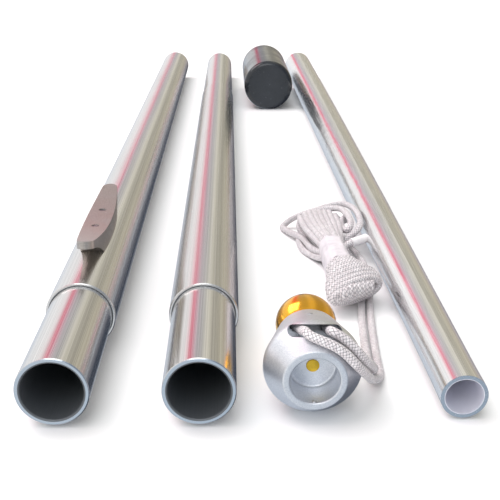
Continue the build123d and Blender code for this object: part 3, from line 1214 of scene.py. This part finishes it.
@dataclass
class Head:
    """The head with its sheave, set screw, stud and ball. It lies level, on its widest ring."""

    mouth: Point = (53.0, -989.0, 47.6)
    axis: Point = (0.012217, 0.999925, 0.0)
    slot: SheaveSlot = field(default_factory=SheaveSlot)
    casting: Route = (
        (31.0, 0.0, 0.0), (31.0, 23.0, 3.0), (0.0, 23.0, 1.9), (0.0, 29.8, 2.2),
        (28.1, 48.7, 15.0), (87.5, 32.8, 2.5), (87.5, 11.0, 1.5), (97.0, 11.0, 0.0),
        (97.0, 0.0, 0.0),
    )
    stud: Route = (
        (32.0, 0.0, 0.0), (32.0, 6.35, 0.0), (29.9, 6.35, 0.5), (29.5, 3.0, 3.0), (29.4, 0.0, 0.0),
    )
    set_screw: Outline = (
        (1.6, 0.0), (1.6, 1.1), (0.0, 1.1), (0.0, 2.1), (0.3, 2.4), (5.0, 2.4), (5.0, 0.0),
    )
    set_screw_back: float = 3.9
    set_screw_drop: float = 22.5
    axle: Outline = (
        (-12.7, 0.0), (-12.7, 3.5), (11.4, 3.5), (12.0, 2.8), (12.25, 1.4), (12.3, 0.0),
    )
    ball_centre: float = 121.5
    ball_radius: float = 31.8
    ball_seam: float = 0.12
    ball_steps: int = 72
    ball_segments: int = 128
    casting_segments: int = 192
    fitting_segments: int = 48
    screw_segments: int = 32

    def along(self, distance: float) -> Vector:
        """A point on the head's axis, back from its mouth."""
        return Vector(self.mouth) + Vector(self.axis) * distance

    def ball_outline(self) -> Outline:
        """Half the section of the spun ball, in two halves joined at its widest ring.

        Returns:
            Place along the axis and distance from it, in millimetres.
        """
        radius = self.ball_radius
        outline = [(-radius, 0.0)]
        for step in range(1, self.ball_steps):
            angle = math.pi * step / self.ball_steps
            seam = self.ball_seam if step * 2 == self.ball_steps else 0.0
            outline.append((-radius * math.cos(angle), (radius - seam) * math.sin(angle)))
        return outline + [(radius, 0.0)]

    def build(self, groups: Groups) -> None:
        """Makes the head's pieces and dresses its sheave.

        Args:
            groups: The shared shader effects.
        """
        cast = CastAluminium(
            name="head_satin", pale=(238, 240, 244), shade=(218, 221, 227), roughness=0.42,
            metallic=0.97,
        ).make(groups)
        brass = TurnedMetal(
            name="stud_brass", colour=(236, 196, 70), dark=(164, 124, 34), roughness=0.3
        ).make(groups)
        steel = TurnedMetal(
            name="head_steel", colour=(214, 216, 220), dark=(130, 132, 138), roughness=0.3
        ).make(groups)
        axis, down = Vector(self.axis), Vector((0, 0, -1))
        screw_start = self.along(self.set_screw_back) + down * self.set_screw_drop
        sheave, normal = Vector(self.slot.sheave_centre), Vector(self.slot.sheave_normal)
        mouth, ball_middle = self.along(0), self.along(self.ball_centre)
        outline = rounded_outline(self.stud)
        stud = lathe("head_stud", outline, mouth, axis, self.fitting_segments)
        outline = rounded_outline(self.casting)
        casting = lathe("head_casting", outline, mouth, axis, self.casting_segments)
        carve(casting, self.slot.cutters())
        ball = lathe("head_ball", self.ball_outline(), ball_middle, axis, self.ball_segments)
        screw = lathe("head_set_screw", self.set_screw, screw_start, down, self.screw_segments)
        axle = lathe("head_axle", self.axle, sheave, normal, self.fitting_segments)
        place_piece(casting, cast, ("truck_body", "ball_neck"))
        place_piece(ball, GoldSkin().make(groups), ("finial_ball",))
        place_piece(stud, brass, ("ball_spindle",))
        place_piece(screw, steel, ("truck_set_screw",))
        place_piece(axle, steel, ("sheave_axle",))
        dress_node("truck_sheave", MouldedNylon().make(groups))


@dataclass(frozen=True)
class GroundSleeve:
    """The black sleeve with one closed, rounded end."""

    finish: Finish = BlackGloss()

    def dress(self, groups: Groups) -> None:
        """Gives the sleeve its finish."""
        dress_node("ground_sleeve", self.finish.make(groups))


# Halyard


class Fall(Enum):
    """The rope's two falls from the sheave, named by the side of the slot that each leaves."""

    LEFT = "left"
    RIGHT = "right"


@dataclass
class Hank:
    """The wrapped hank: strands folded to and fro, bound by turns at its near half.

    Stations give the place along Y, the middle in X and Z, and the half width and height.
    """

    rope_radius: float = ROPE_DIAMETER / 2
    outer: Table = (
        (-758, 113, 24, 22, 13), (-743, 118.4, 26, 29.7, 16), (-731, 124.1, 28, 34.9, 18.5),
        (-713, 127.6, 30, 35.9, 20.5), (-698, 127, 30.5, 33, 21), (-686, 123.4, 30, 28.2, 20.5),
        (-667, 119.3, 29, 22.4, 20), (-650, 117, 27.5, 19, 19.8),
    )
    lanes: Table = (
        (-735, 125, 27, 20, 5), (-705, 126.5, 30.5, 19, 6.5), (-686, 123, 30, 14, 8),
        (-667, 119.3, 29, 10, 9), (-650, 117, 27.5, 9.5, 10), (-630, 116, 25.5, 10, 12),
        (-600, 115.8, 22.8, 11.8, 13.5), (-575, 115.6, 22.5, 13, 13), (-550, 112.5, 24, 18, 12),
        (-525, 109, 26, 23, 11), (-500, 107, 27.3, 25, 10), (-478, 106, 27.5, 25.5, 10),
    )
    stops: tuple[float, ...] = (-478, -500, -525, -550, -575, -600, -625, -650, -675, -705)
    tight_from: tuple[float, ...] = (-700, -655, -585, -535)
    round_upper: Outline = (
        (-0.95, 0.15), (-0.72, 0.65), (-0.35, 0.42), (-0.15, 0.98),
        (0.25, 0.45), (0.5, 0.86), (0.85, 0.55), (0.98, 0.1),
    )
    round_lower: Outline = (
        (-0.9, -0.4), (-0.62, -0.75), (-0.35, -0.15), (-0.15, -0.98),
        (0.2, -0.4), (0.45, -0.88), (0.8, -0.58), (0.6, -0.05),
    )
    flat_upper: tuple[float, ...] = (0.35, 0.8, 1.0, 1.0, 1.0, 1.0, 1.0, 0.9)
    flat_lower: tuple[float, ...] = (-0.6, -1.0, -1.0, -1.0, -1.0, -1.0, -1.0, -0.7)
    lower_start: float = -0.86
    lower_step: float = 0.25
    first_stop: int = 5
    far_fold: Outline = ((-11, 0), (-3, -4), (0, 0), (-3, 4), (-11, 0))
    near_fold: Outline = ((9, -2), (2, -1), (-1, 0), (2, -1), (9, -1))
    far_end: float = -457.0
    far_end_step: float = 1.6
    near_end: float = -741.0
    near_end_slant: float = 0.55
    near_end_middle: float = 130.0
    wrap_start: float = -741.0
    wrap_pitch: float = 9.35
    wrap_turns: float = 8.0
    wrap_points: int = 14
    closing_turns: float = 1.5
    closing_wide: float = 15.0
    closing_high: float = 7.5
    closing_dip: float = 4.0
    unevenness: Table = ((0.01, 2.4, 0.0), (0.007, 5.3, 1.0))
    tilts: tuple[float, float] = (0.72, 0.12)
    tilt_length: float = 75.0
    underside_lag: float = 0.55

    def section(self, stations: Table, y: float) -> tuple[float, ...]:
        """The middle in X and Z and the half width and height at a place along the hank."""
        table = np.array(stations)
        return tuple(float(np.interp(y, table[:, 0], table[:, column])) for column in range(1, 5))

    def lane_point(self, upper: bool, index: int, y: float) -> Point:
        """A point on one of the strands that run along the hank.

        Args:
            upper: Whether the strand runs in the upper row.
            index: The strand's number in its row, from the left.
            y: The place along the hank.

        Returns:
            The point in millimetres.
        """
        x, z, wide, high = self.section(self.lanes, y)
        share = float(np.interp(y, self.tight_from, (0, 1, 1, 0)))
        if upper:
            tight = self.round_upper[index]
            loose = (-1 + 2 / (len(self.flat_upper) - 1) * index, self.flat_upper[index])
        else:
            tight = self.round_lower[index]
            loose = (self.lower_start + self.lower_step * index, self.flat_lower[index])
        across, up = (a * (1 - share) + b * share for a, b in zip(loose, tight))
        return (x + across * wide, y, z + up * high)

    def fold(self, before: Point, after: Point, end: float, rounding: Outline) -> list[Point]:
        """The fold that joins two strands at an end of the hank.

        Args:
            before: The last point of the one strand.
            after: The first point of the other.
            end: The place along the hank where the rope turns.
            rounding: How far from that place, and how far up, each of the five points lies.

        Returns:
            Control points in millimetres.
        """
        middle = tuple((one + other) / 2 for one, other in zip(before, after))
        corners = (before, before, middle, after, after)
        return [(x, end + short, z + up) for (x, _, z), (short, up) in zip(corners, rounding)]

    def folded_strands(self) -> list[Point]:
        """The strands folded to and fro along the hank.

        Returns:
            Control points in millimetres.
        """
        points = []
        for index in range(len(self.round_lower)):
            if points:
                end = self.far_end + self.far_end_step * index
                next_lane = self.lane_point(False, index, self.stops[0])
                points += self.fold(points[-1], next_lane, end, self.far_fold)
            first = 0 if points else self.first_stop
            down = [self.lane_point(False, index, stop) for stop in self.stops[first:]]
            back = [self.lane_point(True, index, stop) for stop in reversed(self.stops)]
            off_middle = (down[-1][0] + back[0][0]) / 2 - self.near_end_middle
            end = self.near_end + self.near_end_slant * off_middle
            points += down + self.fold(down[-1], back[0], end, self.near_fold) + back
        return points

    def wraps(self) -> list[Point]:
        """The turns wound by hand round the bundle, from a closing spiral at its near end.

        Returns:
            Control points in millimetres.
        """
        radius = self.rope_radius
        points = []
        first = -int(self.closing_turns * self.wrap_points)
        last = int(self.wrap_turns * self.wrap_points)
        for step in range(first, last + 1):
            turn = step / self.wrap_points
            angle = math.tau * turn - math.pi * 0.5
            closed = min(1.0, 1 + turn / self.closing_turns)
            y = self.wrap_start + self.wrap_pitch * max(turn, 0.0)
            y -= self.closing_dip * (1 - closed)
            share = min(1.0, max(0.0, (y - self.wrap_start) / self.tilt_length))
            tilt = self.tilts[0] * (1 - share) + self.tilts[1] * share
            uneven = [size * math.sin(turn * rate + lag) for size, rate, lag in self.unevenness]
            swell = 1 + sum(uneven)
            across = up = 0.0
            for _ in range(3):
                place = y + tilt * across + self.underside_lag * (1 - share) * max(-up, 0.0)
                x, z, wide, high = self.section(self.outer, place)
                wide = self.closing_wide + (wide - self.closing_wide) * closed
                high = self.closing_high + (high - self.closing_high) * closed
                across = (wide - radius) * math.cos(angle) * swell
                up = (high - radius) * math.sin(angle)
            points.append((x + across, place, max(z + up, radius + 0.2)))
        return points


@dataclass
class PaperBand:
    """The bare paper band round the hank, creased over its strands."""

    start: Point = (116.8, -668.0, 28.0)
    travel: Point = (-1.2, 95.0, -7.2)
    half_wide: float = 17.2
    half_high: float = 19.7
    squareness: float = 0.8
    thick: float = 0.35
    slant: float = 0.16
    slant_change: float = -0.2
    lowest: float = 0.4
    around: int = 120
    rows: int = 25

    def point(self, share: float, inset: float, angle: float) -> Point:
        """A point on the band.

        Args:
            share: The place along the band, from 0 to 1.
            inset: How far under its outer face the point lies.
            angle: The angle round it.

        Returns:
            The point in millimetres.
        """
        x, y, z = (begin + change * share for begin, change in zip(self.start, self.travel))
        # Soft paper follows the strands under it in no exact pattern.
        ripple = 0.45 * math.sin(angle * 7 + 0.4) + 0.25 * math.sin(angle * 12 + y * 0.05)
        crease = 0.3 * math.sin(y * 0.16 + 3 * math.sin(angle * 2)) * math.sin(angle * 3 + 1)
        away = ripple * 0.7 + crease - inset
        offsets = []
        for half, part in ((self.half_wide, math.cos(angle)), (self.half_high, math.sin(angle))):
            offsets.append((half + away) * math.copysign(abs(part) ** self.squareness, part))
        across, up = offsets
        slant = self.slant + self.slant_change * share
        return (x + across, y + slant * across, max(z + up, self.lowest))

    def piece(self) -> Object:
        """The band as a thin closed sleeve.

        Returns:
            The piece.
        """
        angles = [math.tau * step / self.around for step in range(self.around)]
        shares = [row / (self.rows - 1) for row in range(self.rows)]
        rows = [(share, 0.0) for share in shares]
        rows += [(share, self.thick) for share in reversed(shares)]
        rings = [[Vector(self.point(*row, angle)) for angle in angles] for row in rows]
        return loft("hank_band", rings, looped=True)


@dataclass
class Halyard:
    """One braided rope over the sheave. Its two falls run to a wrapped hank."""

    slot: SheaveSlot
    hank: Hank = field(default_factory=Hank)
    band: PaperBand = field(default_factory=PaperBand)
    finish: BraidedRope = BraidedRope()
    diameter: float = ROPE_DIAMETER
    sides: int = 26
    relief: float = 0.0003
    spline_steps: int = 10
    spacing: tuple[float, float, float] = (0.0010, 0.0021, 0.33)
    left_lead: Route = (
        (46.1, -980.7, 90.8), (54.3, -984.2, 88.2), (63.3, -986.5, 85.5), (72.8, -987.6, 80.8),
        (81.4, -987.6, 73.6), (89.2, -986, 64.3), (99.6, -975.4, 49.6), (107.2, -957.5, 35.6),
        (115, -936, 19), (130, -907, 5), (131.3, -877, 4.8), (134.8, -832, 4.8),
        (140.8, -770, 4.8), (149.8, -700, 4.8), (157, -640, 4.8), (160, -590, 4.8),
        (154, -553, 7), (143, -532, 11), (132, -517, 14), (120, -498, 12), (106, -481, 8),
        (92, -470, 5.5),
    )
    right_lead: Route = (
        (77.4, -976.4, 87), (87.4, -977.7, 77.6), (94.8, -976.6, 68.7), (103.3, -969.3, 56.4),
        (110, -953, 45), (116.5, -937, 32), (118.5, -915.5, 19.7), (121, -895, 7),
        (122, -865, 4.8), (125, -820, 4.8), (131, -760, 4.8), (140, -700, 4.8),
        (147.5, -640, 4.8), (149.5, -592, 4.8),
    )
    small_loop: Route = (
        (78.9, -477, 5), (76.9, -494.4, 5), (77, -511.4, 5), (79.1, -530, 5),
        (83.7, -544.1, 5), (90.7, -560.5, 6), (97.6, -575.4, 8),
    )
    eye_coil: Route = (
        (133, -463, 33), (138, -458, 25), (146, -463, 24), (149, -474, 29), (147, -481, 36),
        (143, -487, 37), (138, -495, 33), (137, -517, 31), (141.5, -537.5, 34),
        (148, -532, 40), (148.5, -511.5, 45), (144.5, -484.5, 46),
    )
    inner_crossing: Route = (
        (140, -466, 45), (128, -456.5, 42), (113, -452.5, 38.5), (99, -452, 35),
        (88, -452, 28.5), (81, -456, 21), (79, -467, 14), (85, -482, 9), (97, -500, 7),
        (108, -530, 7), (115, -560, 12), (117, -590, 18), (117, -620, 22),
    )
    round_the_right: Route = (
        (144, -568, 6), (138, -552, 12), (139, -543, 21), (145.5, -541, 27.5), (154, -538, 33),
        (160.5, -531, 38), (163, -517, 43), (163, -493, 45), (160, -462, 45), (151, -441, 44),
    )
    outer_crossing: Route = (
        (140, -438, 43), (128, -440, 41), (116, -443, 38), (103, -445, 34), (90.5, -438, 28),
        (79, -427, 19), (70, -424, 13), (62, -428, 8), (56, -438, 6), (57, -442, 5.5),
        (61, -455, 6), (68.6, -474, 8), (76, -491.5, 11), (82, -509, 13.5), (87, -537, 13),
        (92, -560, 14), (110, -585, 18), (116, -610, 22), (117, -650, 27), (122, -690, 30),
        (128, -720, 29),
    )
    cut_end: Route = (
        (125, -647, 20), (130, -630, 22), (130, -605, 21), (130, -585, 21), (133, -573, 23),
        (138.5, -569, 26), (145, -566.5, 27.5), (153.8, -561.5, 28), (160, -557, 28.5),
        (166.6, -552, 29),
    )
    tape_length: float = 27.0
    tape_radius: float = 6.3
    tape_sides: int = 32
    tape_pick: float = 0.012
    tape_relief: float = 0.00025

    def route(self, fall: Fall) -> list[Point]:
        """Control points of the rope from the sheave's back, by one fall, to its end.

        Args:
            fall: The fall that the rope takes.

        Returns:
            The points in millimetres.
        """
        if fall is Fall.LEFT:
            parts = (
                self.slot.half_turn(-1),
                (self.slot.inside(-11.5, 25), self.slot.inside(-9.5, 38.2, -0.2)),
                self.left_lead, self.small_loop, self.hank.folded_strands(), self.eye_coil,
                self.inner_crossing,
            )
        else:
            parts = (
                self.slot.half_turn(1),
                (self.slot.inside(14.9, 16), self.slot.inside(13.6, 38.5)),
                self.right_lead, self.round_the_right, self.outer_crossing, self.hank.wraps(),
                self.cut_end,
            )
        return [point for part in parts for point in part]

    def dress_end(
        self, sweep: BraidSweep, points: Sequence[Vector], groups: Groups
    ) -> list[Object]:
        """Makes the paper band, and the tape round the rope's cut end.

        Args:
            sweep: The tree that sweeps the tape.
            points: The rope's line.
            groups: The shared shader effects.

        Returns:
            The band and the tape.
        """
        taped = points[-2:]
        while line_length(taped) < self.tape_length * MM:
            taped = points[-len(taped) - 1 :]
        white = PlainPaper(name="end_tape_white", colour=(246, 244, 245), aged=(226, 222, 224))
        band_paper, tape_white = PlainPaper().make(groups), white.make(groups)
        tape = sweep.run(
            "end_tape", taped, Radius=self.tape_radius * MM, Sides=self.tape_sides, Strands=1.0,
            Pick=self.tape_pick, Relief=self.tape_relief, Finish=tape_white,
        )
        band = self.band.piece()
        place_piece(band, band_paper)
        place_piece(tape, tape_white)
        return [band, tape]

    def build(self, groups: Groups) -> None:
        """Sweeps the rope in two lengths, one from each side of the sheave.

        Args:
            groups: The shared shader effects.
        """
        sweep = BraidSweep()
        rope = self.finish.make(groups)
        nodes = {
            Fall.LEFT: ("halyard_fall_left", "halyard_bight"),
            Fall.RIGHT: ("halyard_fall_right", "halyard_hank", "halyard_tail"),
        }
        for fall in Fall:
            dense = spline_points(metres(self.route(fall)), self.spline_steps)
            points = spaced(dense, *self.spacing)
            piece = sweep.run(
                f"halyard_{fall.value}", points, Radius=self.diameter / 2 * MM, Sides=self.sides,
                Strands=self.finish.strands, Pick=self.finish.pick, Relief=self.relief, Finish=rope,
            )
            place_piece(piece, rope, nodes[fall])
            on_it = self.dress_end(sweep, points, groups) if fall is Fall.RIGHT else []


# Studio


@dataclass
class Studio:
    """Camera, pale floor and soft lights."""

    lens: float = 61.39
    sensor: float = 36.0
    place: Point = (-0.0266, -1.6732, 0.4347)
    right: Point = (0.99968, -0.02381, 0.00900)
    up: Point = (0.0, 0.35348, 0.93544)
    forward: Point = (0.02545, 0.93514, -0.35337)
    floor_half: float = 9.0
    floor_colour: tuple[float, ...] = (0.92, 0.92, 0.92, 1.0)
    bands: tuple[tuple[float, Colour], ...] = (
        (-180, (196, 204, 216)), (-150, (206, 214, 226)), (-116, (226, 233, 242)),
        (-100, (250, 252, 255)), (-52, (255, 255, 255)), (-43, (255, 232, 238)),
        (-39, (248, 150, 166)), (-33, (242, 118, 142)), (-28, (232, 156, 176)),
        (-23, (224, 192, 202)), (-18, (202, 196, 202)), (2, (196, 196, 194)),
        (14, (232, 228, 216)), (24, (226, 222, 206)), (34, (184, 180, 168)),
        (52, (178, 174, 160)), (70, (208, 202, 182)), (88, (176, 166, 150)),
        (104, (200, 192, 196)), (118, (146, 144, 152)), (134, (66, 74, 88)), (170, (62, 68, 80)),
        (180, (196, 204, 216)),
    )
    front: Colour = (226, 234, 242)
    front_left: Colour = (255, 255, 255)
    front_right: Colour = (150, 158, 172)
    sun_angle: float = 50.0
    sun_power: float = 1.5
    sun_turns: tuple[tuple[float, str], ...] = ((-14, "Y"), (-8, "X"))
    soft_lights: tuple[tuple[str, Point, float, float], ...] = (
        ("soft_left", (-2.6, 0.6, 3.4), 2.6, 60.0),
        ("soft_front", (-0.4, -3.2, 3.0), 2.4, 30.0),
    )
    lights_aim: Point = (0.0, -0.3, 0.0)

    def set_camera(self) -> None:
        """Makes the camera at the photograph's viewing angle."""
        data = bpy.data.cameras.new("camera")
        data.lens = self.lens
        data.sensor_width = self.sensor
        camera = add_object("camera", data)
        backward = tuple(-part for part in self.forward)
        columns = Matrix((self.right, self.up, backward)).transposed()
        camera.matrix_world = Matrix.Translation(self.place) @ columns.to_4x4()
        bpy.context.scene.camera = camera

    def lay_floor(self) -> None:
        """Makes the pale floor."""
        half = self.floor_half
        corners = [(-half, -half, 0), (half, -half, 0), (half, half, 0), (-half, half, 0)]
        mesh = bpy.data.meshes.new("floor")
        mesh.from_pydata(corners, [], [(0, 1, 2, 3)])
        floor = add_object("floor", mesh)
        floor.visible_glossy = False
        material = bpy.data.materials.new("floor_pale")
        material.use_nodes = True
        tree = Tree(material.node_tree)
        values = {"Base Color": self.floor_colour, "Roughness": 0.9, "Specular IOR Level": 0.0}
        tree.feed(tree.find("BSDF_PRINCIPLED"), values)
        mesh.materials.append(material)

    def set_world(self) -> None:
        """Makes the soft surroundings: pale, with broad tinted bands where a far wall would be."""
        world = bpy.data.worlds.new("studio")
        world.use_nodes = True
        bpy.context.scene.world = world
        tree = Tree(world.node_tree)
        direction = tree.add("ShaderNodeTexCoord").outputs["Generated"]
        x, y, z = tree.split(direction)
        share = tree.math("MULTIPLY_ADD", tree.math("ARCTAN2", x, z), 1 / math.tau, 0.5)
        ramp = tree.add("ShaderNodeValToRGB", {0: share})
        ramp.color_ramp.interpolation = "LINEAR"
        elements = ramp.color_ramp.elements
        while len(elements) < len(self.bands):
            elements.new(0.5)
        for element, (degrees, colour) in zip(elements, self.bands):
            element.position = degrees / 360 + 0.5
            element.color = srgb(colour)
        behind = tree.remap(y, 0.05, -0.5)
        left = tree.remap(x, 0.05, -0.6)
        right = tree.remap(x, 0.05, 0.6)
        front = tree.mix(left, self.front, self.front_left)
        front = tree.mix(right, front, self.front_right)
        colour = tree.mix(behind, ramp.outputs[0], front)
        tree.feed(tree.find("BACKGROUND"), {"Color": colour, "Strength": 1.0})

    def add_lights(self) -> None:
        """Adds an even light from above, and broad ones from the upper left and the front."""
        data = bpy.data.lights.new("soft_above", "SUN")
        data.angle = math.radians(self.sun_angle)
        data.energy = self.sun_power
        sun = add_object("soft_above", data)
        sun.visible_glossy = False
        first, second = (Matrix.Rotation(math.radians(by), 4, axis) for by, axis in self.sun_turns)
        sun.matrix_world = first @ second
        for name, place, size, power in self.soft_lights:
            data = bpy.data.lights.new(name, "AREA")
            data.size = size
            data.energy = power
            turn = (Vector(self.lights_aim) - Vector(place)).to_track_quat("-Z", "Y")
            lamp = add_object(name, data)
            lamp.matrix_world = Matrix.Translation(place) @ turn.to_matrix().to_4x4()

    def build(self) -> None:
        """Builds the whole studio."""
        bpy.context.scene.view_settings.view_transform = "Standard"
        self.set_camera()
        self.lay_floor()
        self.set_world()
        self.add_lights()
        log.info("studio is ready")


def main() -> None:
    """Builds the studio, dresses the CAD nodes, and makes the head and the halyard."""
    logging.basicConfig(level=logging.INFO, format="%(name)s: %(message)s")
    groups = Groups()
    Studio().build()
    PoleSections().dress(groups)
    CleatAndScrews().dress(groups)
    head = Head()
    head.build(groups)
    GroundSleeve().dress(groups)
    Halyard(head.slot).build(groups)


if __name__ == "__main__":
    main()
